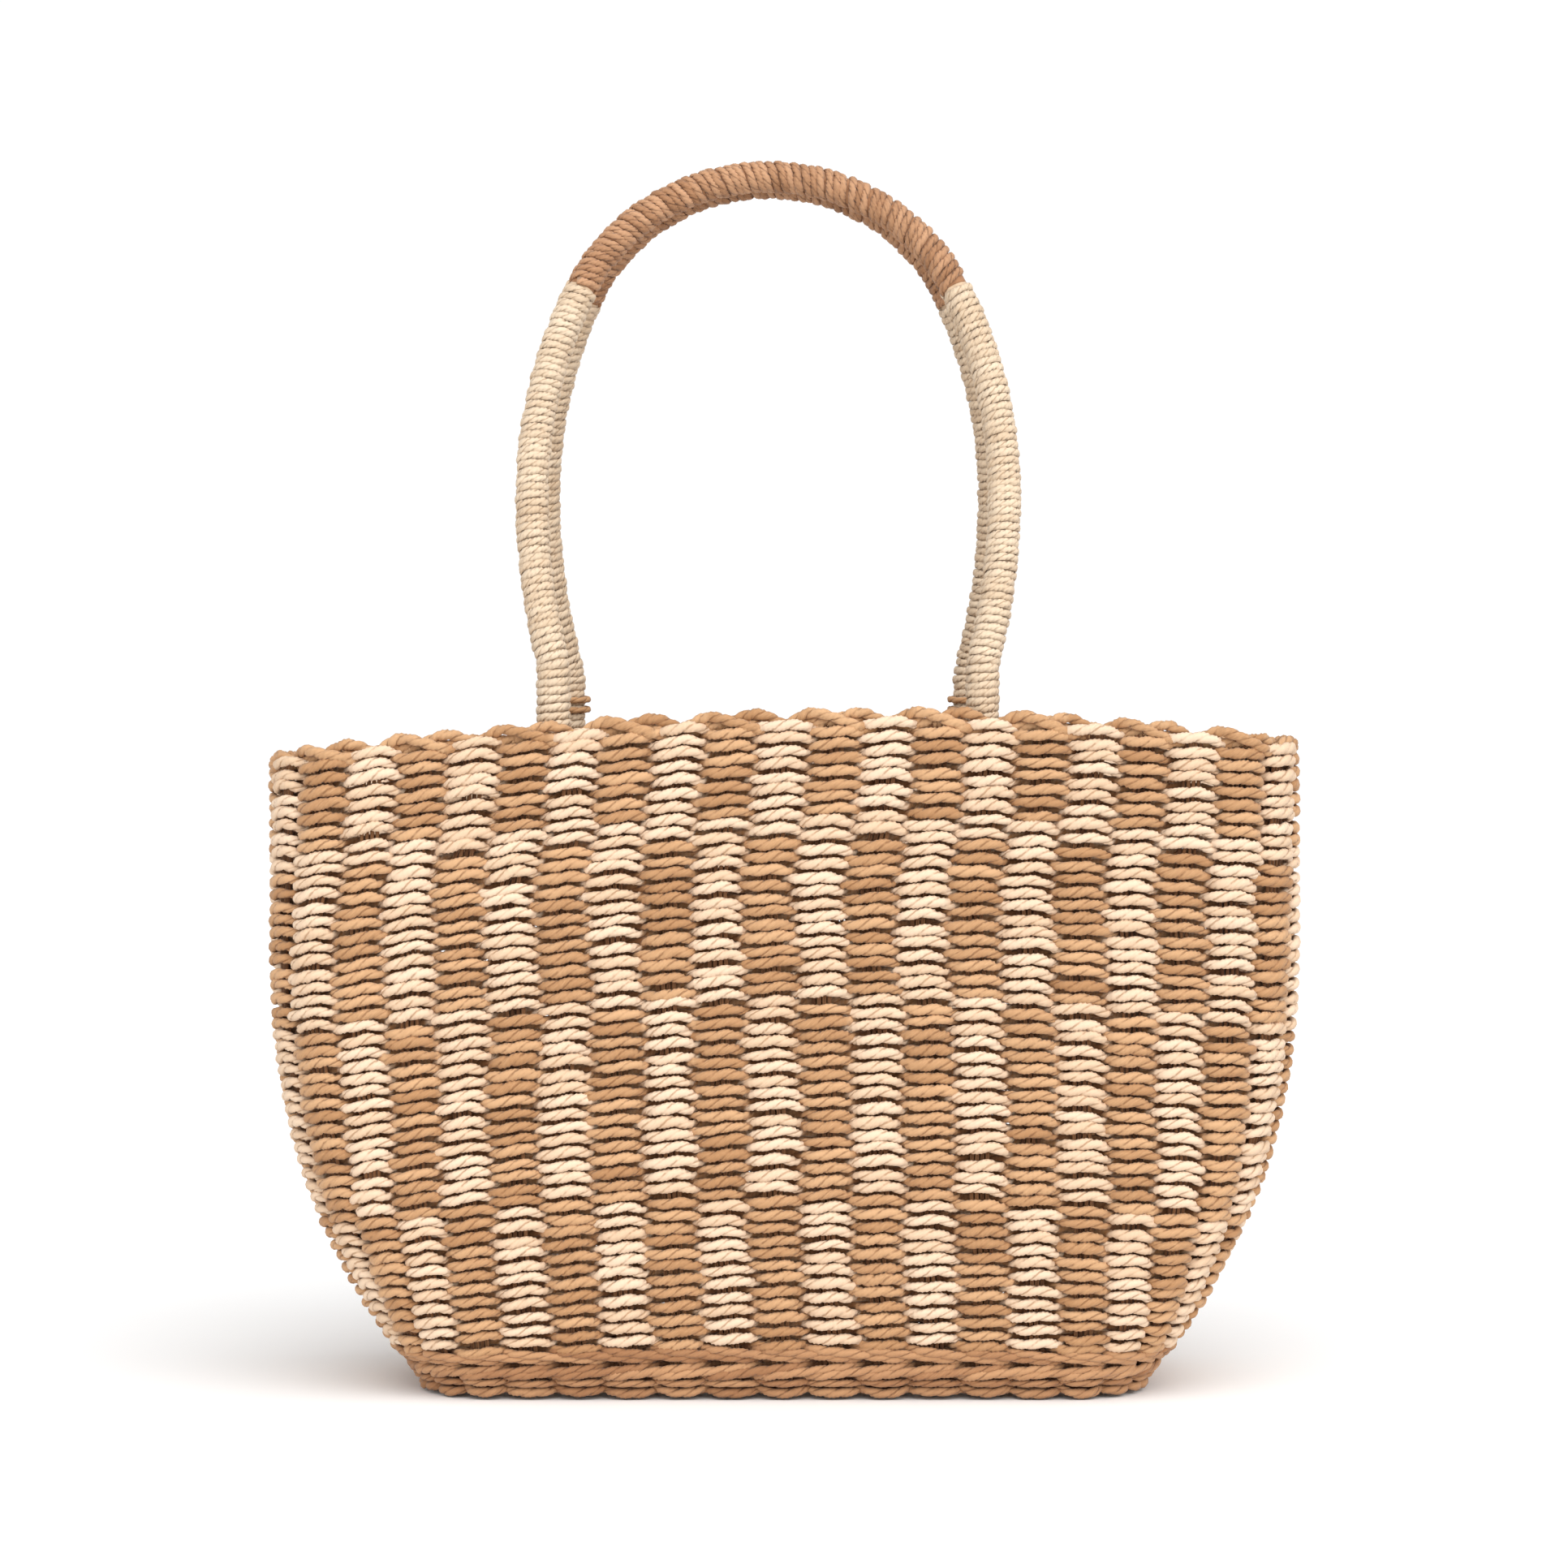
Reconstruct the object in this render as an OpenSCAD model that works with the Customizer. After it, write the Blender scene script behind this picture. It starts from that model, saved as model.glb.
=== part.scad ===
// Woven market basket with two wrapped rope handles.
// Two colours of cord are twined around upright stakes, so that each colour passes outside
// every second stake. The colours change places from tier to tier, which makes the checks.
// Millimetres, +Z up, front towards -Y. The origin is on the table under the middle.

/* [Body] */
// Width over the widest part of the wall
body_w = 430; // [370:1:500]
// Depth over the wall, front to back, at the rim
body_d = 152; // [132:1:185]
// Height of the top row at the middle of the front
body_h = 279; // [240:1:330]
// Width of the foot before its wall flares
foot_w = 302; // [260:1:340]
// Depth of the foot before its wall flares
foot_d = 116; // [105:1:130]
// How far the rows run lower at the two ends than at the middle
end_drop = 14; // [0:1:20]
// Corner radius of the outside at the rim
rim_corner_r = 34; // [28:1:44]
// Corner radius of the outside at the foot
foot_corner_r = 40; // [34:1:48]

/* [Weave] */
// Number of stakes around the wall, a multiple of four
stakes = 52; // [44:4:60]
// Width of a column of the weave across the front, at the middle
column_w = 21.2; // [19:0.1:23]
// Thickness of the wall over both layers of cord
wall_t = 12; // [11:0.5:14]
// Thickness of one layer of cord
cord_t = 4.2; // [3.6:0.1:4.4]
// Thickness of a stake
stake_t = 2.2; // [1.6:0.1:2.4]
// Height of the foot border
foot_h = 8.5; // [7:0.5:11]
// Height of each of the two wales above the foot
wale_h = 7.25; // [6:0.25:9]
// Height of the scalloped rim border, valley to table side
rim_t = 4.8; // [4:0.2:6]
// How far a scallop of the rim rises over its valley
scallop_h = 1.9; // [1:0.1:3]
// Thickness of each of the two layers of the floor
floor_t = 3.8; // [3:0.1:4.2]

/* [Handles] */
// Distance between the two legs of a handle, where they stand in the basket
leg_span = 176; // [140:1:200]
// How far both handles stand off the middle, negative to the left
handle_shift = -6; // [-10:0.5:10]
// How far each leg rises over the rim before it bends
leg_rise = 11; // [8:0.5:20]
// Diameter of a wrapped handle
grip_d = 14; // [12:0.5:16]
// Diameter of the rope inside the wrapping
core_d = 10.4; // [8:0.2:11]
// Length from the bend at the rim to the middle of the grip, along the handle's own plane
handle_h = 214.5; // [180:0.5:255]
// Height of the widest point of the legs above the bend
bow_h = 76; // [60:1:90]
// How far each leg bows out from its foot
bow = 9; // [6:0.5:14]
// Gap between the two grips where they lean together
grip_gap = 2; // [1:0.5:6]
// Length of each leg end inside the basket
tail_len = 68; // [56:1:85]
// Diameter of the tie cord
tie_d = 2.6; // [2:0.2:3]
// Number of ties on each leg end inside the basket
ties = 5; // [3:1:6]
// Number of turns of tie cord around each back leg above the rim
rim_ties = 2; // [1:1:2]

/* [Hidden] */
$fn = 48;
fit_gap = 0.3; // between pieces that lie side by side
flare_h = 190; // the ends of the wall flare up to here
belly_h = 120; // the front and back flare up to here
flare_power = 2.36;
drop_power = 3.55;
drop_spread = 2;
fan_stake = 7; // beyond this stake the columns crowd together
fan_soft = 1.2;
quarter = stakes / 4;
layer_out = wall_t / 2;
layer_in = wall_t / 2 - cord_t;
wall_top = body_h;
weave_base = foot_h + 2 * wale_h;
rows = 47.5; // twined rows between the wales and the rim border
row_h = (wall_top - weave_base) / rows;
tier_rows = [0, 11.5, 26.5, 39.5, rows]; // where the colours change places, from below
base_mid = foot_h - 2.5; // height of the stakes where they cross under the floor
base_tuck = 26; // how far the end stakes reach in under the floor
stake_half = 0.21; // half of a stake's width, as a share of the column
over_half = 0.3; // half of the stretch where a cord lies flat over its stake
cross_half = 0.1; // half of the stretch where the two cords change sides
neck_gap = 0.6;

leg_r = grip_d / 2;
hinge_y = body_d / 2 - wall_t - fit_gap - leg_r;
leg_x = leg_span / 2;
rim_top = wall_top + rim_t + scallop_h;
hinge_z = rim_top + leg_rise + leg_r;
lean = asin((hinge_y - leg_r - grip_gap / 2) / handle_h);
bow_r = (bow_h * bow_h + bow * bow) / (2 * bow);
bow_angle = asin(bow_h / bow_r);
half_w = leg_x + bow;
grip_half_angle = 65;
shoulder_angle = 90 - grip_half_angle;
arch_h = handle_h - bow_h;
// The apex arc and the shoulder arc meet in one tangent at grip_half_angle
// and together span half_w and arch_h.
grip_r = (half_w - arch_h * (1 - sin(grip_half_angle)) / cos(grip_half_angle))
       / (sin(grip_half_angle) - (1 - sin(grip_half_angle)) * (1 - cos(grip_half_angle)) / cos(grip_half_angle));
shoulder_r = (arch_h - grip_r * (1 - cos(grip_half_angle))) / cos(grip_half_angle);
tail_top = hinge_z - leg_r - fit_gap;
tail_bottom = tail_top - tail_len;
tie_bend = leg_r + tie_d / 2 + fit_gap / 3;
tie_margin = 5; // from the lower end of a leg to its lowest tie
rim_tie_step = tie_d + 1.8;
wrap_start = leg_r + 0.4; // from the bend to the lower end of the wrapping
wrap_seam = 0.1; // between the two lengths of a leg's wrapping
core_ease = 0.2; // around the rope inside the wrapping

tan_cord = [0.76, 0.55, 0.38];
cream_cord = [0.94, 0.85, 0.72];
core_rope = [0.86, 0.80, 0.68];

// ---- The wall as a surface -------------------------------------------------------------

// Height at which the end of the wall stands when the middle of the front is at level w.
function end_level(w) = w - end_drop * drop_share(w);
function drop_share(w) = w <= foot_h ? 0 : 1 - pow(max(0, 1 - (w - foot_h) / flare_h), drop_power);

// Half width, half depth and corner radius of the outside at level w.
function half_width(w) =
    body_w / 2 - (body_w - foot_w) / 2 * pow(max(0, 1 - end_level(max(w, foot_h)) / flare_h), flare_power);
function half_depth(w) = body_d / 2 - (body_d - foot_d) / 2 * pow(max(0, 1 - max(w, foot_h) / belly_h), 2);
function corner_r(w) = rim_corner_r + (foot_corner_r - rim_corner_r) * max(0, 1 - max(w, foot_h) / flare_h);

// Length of a quarter of the wall's middle line, from the front's middle to an end's middle.
function quarter_len(w) = half_width(w) + half_depth(w) - wall_t - (2 - PI / 2) * (corner_r(w) - wall_t / 2);

// How much of the crowding together falls before column u of a quarter.
function bend_in(u) = u - fan_stake + sqrt(pow(u - fan_stake, 2) + pow(fan_soft, 2));
function crowding(u) = (bend_in(u) - bend_in(0)) / (bend_in(quarter) - bend_in(0));
function along(u, w) =
    column_w * u - (column_w * quarter - quarter_len(w)) * crowding(u);

// Point and outward normal, seen from above, at column u of the first quarter: [x, y, nx, ny].
function in_quarter(u, w) =
    let(a = half_width(w) - wall_t / 2, b = half_depth(w) - wall_t / 2, r = corner_r(w) - wall_t / 2,
        s = along(u, w), turn = (s - (a - r)) / r * 180 / PI)
    turn < 0 ? [s, -b, 0, -1] :
    turn < 90 ? [a - r + r * sin(turn), -(b - r) - r * cos(turn), sin(turn), -cos(turn)] :
    [a, -(b - r) + s - (a - r) - r * PI / 2, 1, 0];

// The same for any column: 0 is the middle of the front, counted towards +X.
function in_plan(u, w) =
    let(v = u - stakes * floor(u / stakes))
    v <= quarter ? in_quarter(v, w) :
    v <= 2 * quarter ? let(p = in_quarter(2 * quarter - v, w)) [p[0], -p[1], p[2], -p[3]] :
    v <= 3 * quarter ? let(p = in_quarter(v - 2 * quarter, w)) [-p[0], -p[1], -p[2], -p[3]] :
    let(p = in_quarter(4 * quarter - v, w)) [-p[0], p[1], -p[2], p[3]];

function across(u, w, off) = let(p = in_plan(u, w)) [p[0] + off * p[2], p[1] + off * p[3]];
function height_at(u, w) =
    let(x = abs(in_plan(u, w)[0]) / (half_width(w) - wall_t / 2))
    w - end_drop * drop_share(w) * pow(x, drop_spread);

// Point on the wall at column u and level w, off the middle surface by off and raised by dz.
function wall_point(u, w, off, dz = 0) = let(p = across(u, w, off)) [p[0], p[1], height_at(u, w) + dz];

// ---- Sweeps: a list of rings of points made into one closed solid ------------------------

// The two triangles between edge j of ring r0 and the same edge of ring r1, split along the
// shorter diagonal, so that neighbours that share four corners share the split as well.
function side_faces(r0, r1, i0, i1, j) =
    let(m = len(r0), k = (j + 1) % m, a = i0 * m + j, b = i0 * m + k, c = i1 * m + k, d = i1 * m + j)
    norm(r0[j] - r1[k]) <= norm(r0[k] - r1[j]) ? [[a, b, c], [a, c, d]] : [[a, b, d], [b, c, d]];

module closed_sweep(rings) {
    n = len(rings);
    polyhedron(
        points = [for (ring = rings) each ring],
        faces = [for (i = [0 : n - 1], j = [0 : len(rings[0]) - 1])
            each side_faces(rings[i], rings[(i + 1) % n], i, (i + 1) % n, j)],
        convexity = 10);
}

module open_sweep(rings) {
    n = len(rings);
    m = len(rings[0]);
    last = (n - 1) * m;
    polyhedron(
        points = [for (ring = rings) each ring],
        faces = concat(
            [for (i = [0 : n - 2], j = [0 : m - 1]) each side_faces(rings[i], rings[i + 1], i, i + 1, j)],
            [for (j = [1 : m - 2]) [0, j + 1, j]],
            [for (j = [1 : m - 2]) [last, last + j, last + j + 1]]),
        convexity = 10);
}

// A band's section at column u between levels w0 and w1, between offsets in and out.
// The extra levels let the band follow the wall's curve.
function band_ring(u, w0, w1, in, out, extra = []) = concat(
    [wall_point(u, w0, in)], [wall_point(u, w0, out)],
    [for (w = extra) wall_point(u, w0 + (w1 - w0) * w, out)],
    [wall_point(u, w1, out)], [wall_point(u, w1, in)],
    [for (i = [len(extra) - 1 : -1 : 0]) wall_point(u, w0 + (w1 - w0) * extra[i], in)]);

// ---- Stakes ------------------------------------------------------------------------------

stake_levels = [wall_top, weave_base + tier_rows[3] * row_h, weave_base + tier_rows[2] * row_h,
                weave_base + tier_rows[1] * row_h, weave_base + tier_rows[1] * row_h / 2,
                weave_base, foot_h + wale_h, foot_h];

function stake_ring(u, w) = [
    wall_point(u - stake_half, w, -stake_t / 2), wall_point(u - stake_half, w, stake_t / 2),
    wall_point(u + stake_half, w, stake_t / 2), wall_point(u + stake_half, w, -stake_t / 2)];

// Where the stake turns under the floor: the outer corner is below and the inner one above.
function turn_ring(u, off = 0, outer = stake_t / 2, inner = -stake_t / 2) = [
    for (c = [[-1, inner], [-1, outer], [1, outer], [1, inner]])
        let(p = across(u + c[0] * stake_half, foot_h, off + c[1]))
        [p[0], p[1], base_mid - sign(c[1]) * stake_t / 2]];

// A stake that crosses the whole floor, up the front at column u and up the back.
module cross_stake(u) {
    front = concat([for (w = stake_levels) stake_ring(u, w)], [turn_ring(u)]);
    back = [for (i = [len(front) - 1 : -1 : 0]) [for (p = front[i]) [p[0], -p[1], p[2]]]];
    open_sweep(concat(front, back));
}

// A stake of an end, which stops under the floor. Its inner end is as thick as the rest.
module end_stake(u) {
    tip = [for (c = [[-1, 1], [-1, -1], [1, -1], [1, 1]])
        let(p = across(u + c[0] * stake_half, foot_h, -base_tuck))
        [p[0], p[1], base_mid + c[1] * stake_t / 2]];
    open_sweep(concat([for (w = stake_levels) stake_ring(u, w)], [turn_ring(u)], [tip]));
}

last_cross = fan_stake - 2;

module cross_stakes() {
    color(tan_cord) for (u = [-last_cross : last_cross]) cross_stake(u);
}

module end_stakes() {
    color(tan_cord) for (u = [last_cross + 1 : 2 * quarter - last_cross - 1]) end_stake(u);
}

// ---- Floor and foot ------------------------------------------------------------------------

// A plate in the shape of the foot, inset from its outside.
module foot_outline(inset) {
    a = half_width(foot_h) - inset;
    b = half_depth(foot_h) - inset;
    r = corner_r(foot_h) - inset;
    square([2 * (a - r), 2 * b], center = true);
    square([2 * a, 2 * (b - r)], center = true);
    for (x = [-1, 1], y = [-1, 1]) translate([x * (a - r), y * (b - r)]) circle(r);
}

under_inset = cord_t + stake_t + 2 * fit_gap; // inside the foot border and the stakes in it
upper_inset = wall_t + 3 * fit_gap; // inside the wales
floor_clear = stake_t / 2 + fit_gap;

module floor_under_layer() {
    color(tan_cord) translate([0, 0, base_mid - floor_clear - floor_t])
        linear_extrude(floor_t) foot_outline(under_inset);
}

module floor_upper_layer() {
    color(tan_cord) translate([0, 0, base_mid + floor_clear]) linear_extrude(floor_t) foot_outline(upper_inset);
}

module foot_border() {
    color(tan_cord) linear_extrude(foot_h) difference() {
        foot_outline(0);
        foot_outline(cord_t);
    }
}

// ---- Wales: rows of three cords above the foot, outside and inside the stakes ---------------

module wale(w0, w1) {
    color(tan_cord) for (side = [-1, 1])
        closed_sweep([for (u = [0 : stakes - 1])
            band_ring(u + 0.5, w0, w1, side > 0 ? layer_in : -layer_out, side > 0 ? layer_out : -layer_in)]);
}

module lower_wale() { wale(foot_h, foot_h + wale_h); }
module upper_wale() { wale(foot_h + wale_h, weave_base); }

// ---- Tiers: each colour is one closed band that passes outside every second stake ------------

// The band of one colour in one tier. parity 0 lies outside the even stakes, 1 outside the odd.
// Where the bands change sides, this one keeps to the upper or to the lower half of the tier.
module tier_band(tier, parity, upper) {
    w0 = weave_base + tier_rows[tier] * row_h;
    w1 = weave_base + tier_rows[tier + 1] * row_h;
    middle = (w0 + w1) / 2;
    low = upper ? middle + neck_gap : w0;
    high = upper ? w1 : middle - neck_gap;
    extra = tier == 0 ? [0.5] : [];
    lie = (layer_in + layer_out) / 2;
    neck = cord_t / 2 + 0.1; // the cords pass each other before either is cut to its half
    closed_sweep([for (i = [0 : stakes - 1])
        let(side = i % 2 == parity ? 1 : -1)
        each [
            band_ring(i - over_half, w0, w1, side * lie - cord_t / 2, side * lie + cord_t / 2, extra),
            band_ring(i + over_half, w0, w1, side * lie - cord_t / 2, side * lie + cord_t / 2, extra),
            band_ring(i + 0.5 - cross_half, low, high, side * neck - cord_t / 2, side * neck + cord_t / 2, extra),
            band_ring(i + 0.5 + cross_half, low, high, -side * neck - cord_t / 2, -side * neck + cord_t / 2, extra)]]);
}

// Counted from the rim: in tiers 1 and 3 the cream cord lies outside the even stakes.
module tier_cord(tier, cream) {
    even = (tier % 2 == 1) == cream;
    color(cream ? cream_cord : tan_cord) tier_band(4 - tier, even ? 0 : 1, cream);
}

// ---- Rim: the stake ends turned down into a row of scallops -----------------------------------

module rim_border() {
    half = wall_t / 2 - 1;
    color(tan_cord) closed_sweep([for (i = [0 : 4 * stakes - 1])
        let(u = i / 4, rise = scallop_h * (1 - cos(360 * u)) / 2)
        [for (c = [[-half, 0.5], [-half * 0.6, 0], [half * 0.6, 0], [half, 0.5], [half * 0.6, 1], [-half * 0.6, 1]])
            wall_point(u, wall_top, c[0], fit_gap / 2 + c[1] * rim_t + (c[1] > 0 ? rise : 0))]]);
}

// ---- Handles, drawn upright in their own plane with the bend at the origin's height ------------

module arc_tube(center_x, center_z, r, from, to, outer, inner) {
    translate([center_x, 0, center_z]) rotate([90, 0, 0]) rotate([0, 0, from])
        rotate_extrude(angle = to - from) translate([r, 0]) difference() {
            circle(d = outer);
            if (inner > 0) circle(d = inner);
        }
}

module grip_arc(outer, inner = 0) {
    arc_tube(0, handle_h - grip_r, grip_r, shoulder_angle, 180 - shoulder_angle, outer, inner);
}

// The wrapping of one leg, from start above the bend up to the grip, in two lengths.
module leg_arcs(start, outer, inner) {
    arc_tube(half_w - bow_r, bow_h, bow_r, start / bow_r * 180 / PI - bow_angle, 0, outer, inner);
    arc_tube(half_w - shoulder_r, bow_h, shoulder_r, wrap_seam / shoulder_r * 180 / PI, shoulder_angle,
        outer, inner);
}

// Stations along the right half of the handle's middle line: [x, z, angle of the outside].
function arc_stations(center_x, center_z, r, from, to, steps, first) =
    [for (i = [first : steps]) let(a = from + (to - from) * i / steps)
        [center_x + r * cos(a), center_z + r * sin(a), a]];
half_stations = concat(
    arc_stations(half_w - bow_r, bow_h, bow_r, leg_r / bow_r * 180 / PI - bow_angle, 0, 4, 0),
    arc_stations(half_w - shoulder_r, bow_h, shoulder_r, 0, shoulder_angle, 6, 1),
    arc_stations(0, handle_h - grip_r, grip_r, shoulder_angle, 90, 10, 1));
stations = concat(half_stations,
    [for (i = [len(half_stations) - 2 : -1 : 0])
        let(p = half_stations[i]) [-p[0], p[1], 180 - p[2]]]);

// The rope inside, one length from knuckle to knuckle.
module handle_core() {
    r = core_d / 2 - core_ease;
    color(core_rope) open_sweep([for (p = stations)
        [for (t = [0 : 45 : 315])
            [p[0] + r * cos(t) * cos(p[2]), r * sin(t), p[1] + r * cos(t) * sin(p[2])]]]);
}

module grip_wrap() { color(tan_cord) grip_arc(grip_d, core_d); }

// The wrapping of one leg, with the knuckle on which the handle tilts.
module leg_wrap() {
    color(cream_cord) {
        leg_arcs(wrap_start, grip_d, core_d);
        translate([leg_x, 0, 0]) sphere(leg_r);
    }
}

// ---- Leg ends inside the basket, each tied to the wall -----------------------------------------

module tail(outer, inner = 0) {
    translate([leg_x, -hinge_y, tail_bottom]) linear_extrude(tail_len) difference() {
        circle(d = outer);
        if (inner > 0) circle(d = inner);
    }
}

module tail_core() { color(core_rope) tail(core_d); }
module tail_wrap() { color(cream_cord) tail(grip_d, core_d); }

// Ties around the leg end below the rim, each a U whose two ends stop at the wall.
module wall_ties() {
    reach = body_d / 2 - wall_t - hinge_y - fit_gap / 2;
    highest = height_at(0, wall_top) - end_drop / 2 - tail_bottom;
    step = (highest - tie_margin) / (ties - 1);
    for (k = [0 : ties - 1])
        translate([leg_x, -hinge_y, tail_bottom + tie_margin + k * step]) {
            rotate_extrude(angle = 180) translate([tie_bend, 0]) circle(d = tie_d);
            for (x = [-tie_bend, tie_bend])
                translate([x, 0, 0]) rotate([90, 0, 0]) cylinder(d = tie_d, h = reach);
        }
}

// Whole turns of tie cord around the leg, just above the rim.
module turns_over_rim() {
    for (k = [0 : rim_ties - 1])
        translate([leg_x, -hinge_y, rim_top + tie_d / 2 + fit_gap + k * rim_tie_step])
            rotate_extrude() translate([tie_bend, 0]) circle(d = tie_d);
}

module leg_ties(over_rim) {
    color(tan_cord) {
        wall_ties();
        if (over_rim) turns_over_rim();
    }
}

// ---- Placing ---------------------------------------------------------------------------------

// side: -1 left, 1 right. face: -1 front, 1 back. Both handles are shifted together.
module to_side(side) { mirror([side < 0 ? 1 : 0, 0, 0]) children(); }
module to_face(face) { translate([handle_shift, 0, 0]) mirror([0, face > 0 ? 1 : 0, 0]) children(); }
module on_handle(face) {
    to_face(face) translate([0, -hinge_y, hinge_z]) rotate([-lean, 0, 0]) children();
}

cross_stakes();
end_stakes();  // right_end_stakes
mirror([1, 0, 0]) end_stakes();  // left_end_stakes
floor_under_layer();
floor_upper_layer();
foot_border();
lower_wale();
upper_wale();
rim_border();
tier_cord(1, false);  // tier_1_tan_cord
tier_cord(1, true);  // tier_1_cream_cord
tier_cord(2, false);  // tier_2_tan_cord
tier_cord(2, true);  // tier_2_cream_cord
tier_cord(3, false);  // tier_3_tan_cord
tier_cord(3, true);  // tier_3_cream_cord
tier_cord(4, false);  // tier_4_tan_cord
tier_cord(4, true);  // tier_4_cream_cord
on_handle(-1) handle_core();  // front_handle_core
on_handle(-1) grip_wrap();  // front_grip_wrap
on_handle(-1) to_side(-1) leg_wrap();  // front_left_leg_wrap
to_face(-1) to_side(-1) tail_core();  // front_left_tail_core
to_face(-1) to_side(-1) tail_wrap();  // front_left_tail_wrap
to_face(-1) to_side(-1) leg_ties(false);  // front_left_ties
on_handle(-1) to_side(1) leg_wrap();  // front_right_leg_wrap
to_face(-1) to_side(1) tail_core();  // front_right_tail_core
to_face(-1) to_side(1) tail_wrap();  // front_right_tail_wrap
to_face(-1) to_side(1) leg_ties(false);  // front_right_ties
on_handle(1) handle_core();  // back_handle_core
on_handle(1) grip_wrap();  // back_grip_wrap
on_handle(1) to_side(-1) leg_wrap();  // back_left_leg_wrap
to_face(1) to_side(-1) tail_core();  // back_left_tail_core
to_face(1) to_side(-1) tail_wrap();  // back_left_tail_wrap
to_face(1) to_side(-1) leg_ties(true);  // back_left_ties
on_handle(1) to_side(1) leg_wrap();  // back_right_leg_wrap
to_face(1) to_side(1) tail_core();  // back_right_tail_core
to_face(1) to_side(1) tail_wrap();  // back_right_tail_wrap
to_face(1) to_side(1) leg_ties(true);  // back_right_ties
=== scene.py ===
import math

import bpy
import numpy as np
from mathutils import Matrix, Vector


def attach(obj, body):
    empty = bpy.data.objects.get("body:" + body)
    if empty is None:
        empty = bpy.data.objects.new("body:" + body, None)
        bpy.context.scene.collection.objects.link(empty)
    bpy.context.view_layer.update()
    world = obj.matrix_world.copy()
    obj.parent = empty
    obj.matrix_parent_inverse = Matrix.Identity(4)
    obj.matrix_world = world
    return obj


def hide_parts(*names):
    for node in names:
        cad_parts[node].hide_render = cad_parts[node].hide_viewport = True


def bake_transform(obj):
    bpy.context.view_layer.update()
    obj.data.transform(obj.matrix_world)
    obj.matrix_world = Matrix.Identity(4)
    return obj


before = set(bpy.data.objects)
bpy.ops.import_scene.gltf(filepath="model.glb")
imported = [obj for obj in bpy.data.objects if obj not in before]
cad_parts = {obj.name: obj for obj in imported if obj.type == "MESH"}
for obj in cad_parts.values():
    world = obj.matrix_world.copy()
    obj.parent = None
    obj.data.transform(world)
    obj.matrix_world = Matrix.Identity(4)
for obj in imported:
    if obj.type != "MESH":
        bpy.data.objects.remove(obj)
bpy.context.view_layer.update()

# ---- The basket's wall, in millimetres, as the CAD describes it ----------------------------------

BODY_W, BODY_D, BODY_H = 430, 152, 279
FOOT_W, FOOT_D = 302, 116
END_DROP = 14
RIM_CORNER_R, FOOT_CORNER_R = 34, 40
STAKES = 52
COLUMN_W = 21.2
QUARTER = STAKES // 4
WALL_T = 12
FOOT_H, WALE_H = 8.5, 7.25
FLARE_H, BELLY_H = 190, 120
FLARE_POWER, DROP_POWER, DROP_SPREAD = 2.36, 3.55, 2
FAN_STAKE, FAN_SOFT = 7, 1.2
WEAVE_BASE = FOOT_H + 2 * WALE_H
ROWS = 47.5
ROW_H = (BODY_H - WEAVE_BASE) / ROWS
FLOOR_MID = 6
END_TUCK = 26

RNG = np.random.default_rng(1932)


def drop_share(w):
    return np.where(w <= FOOT_H, 0, 1 - np.maximum(0, 1 - (w - FOOT_H) / FLARE_H) ** DROP_POWER)


def half_width(w):
    level = np.maximum(w, FOOT_H)
    level = level - END_DROP * drop_share(level)
    return BODY_W / 2 - (BODY_W - FOOT_W) / 2 * np.maximum(0, 1 - level / FLARE_H) ** FLARE_POWER


def half_depth(w):
    return BODY_D / 2 - (BODY_D - FOOT_D) / 2 * np.maximum(0, 1 - np.maximum(w, FOOT_H) / BELLY_H) ** 2


def corner_r(w):
    return RIM_CORNER_R + (FOOT_CORNER_R - RIM_CORNER_R) * np.maximum(0, 1 - np.maximum(w, FOOT_H) / FLARE_H)


def quarter_len(w):
    return half_width(w) + half_depth(w) - WALL_T - (2 - math.pi / 2) * (corner_r(w) - WALL_T / 2)


def bend_in(u):
    return u - FAN_STAKE + np.sqrt((u - FAN_STAKE) ** 2 + FAN_SOFT ** 2)


def along(u, w):
    crowding = (bend_in(u) - bend_in(0)) / (bend_in(QUARTER) - bend_in(0))
    return COLUMN_W * u - (COLUMN_W * QUARTER - quarter_len(w)) * crowding


def in_plan(u, w):
    """Point and outward direction, seen from above, at column u and level w."""
    v = np.mod(u, STAKES)
    q = np.minimum(np.floor(v / QUARTER), 3)
    v = np.where(q % 2 == 0, v - q * QUARTER, (q + 1) * QUARTER - v)
    a, b, r = half_width(w) - WALL_T / 2, half_depth(w) - WALL_T / 2, corner_r(w) - WALL_T / 2
    s = along(v, w)
    turn = (s - (a - r)) / r
    t = np.clip(turn, 0, math.pi / 2)
    x = np.where(turn < 0, s, a - r + r * np.sin(t))
    y = np.where(turn > math.pi / 2, -(b - r) + s - (a - r) - r * math.pi / 2, -(b - r) - r * np.cos(t))
    sx, sy = np.where(q < 2, 1, -1), np.where((q == 0) | (q == 3), 1, -1)
    return x * sx, y * sy, np.sin(t) * sx, -np.cos(t) * sy


def waves(u, w, phases, rounds=(3, 5, 8, 13), heights=(160, -110, 75, -60)):
    """A smooth wandering value from -1 to 1 that closes round the basket."""
    total = 0
    for phase, n, h in zip(phases, rounds, heights):
        total = total + np.sin(2 * math.pi * (n * u / STAKES + w / h) + phase)
    return total / len(rounds)


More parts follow.
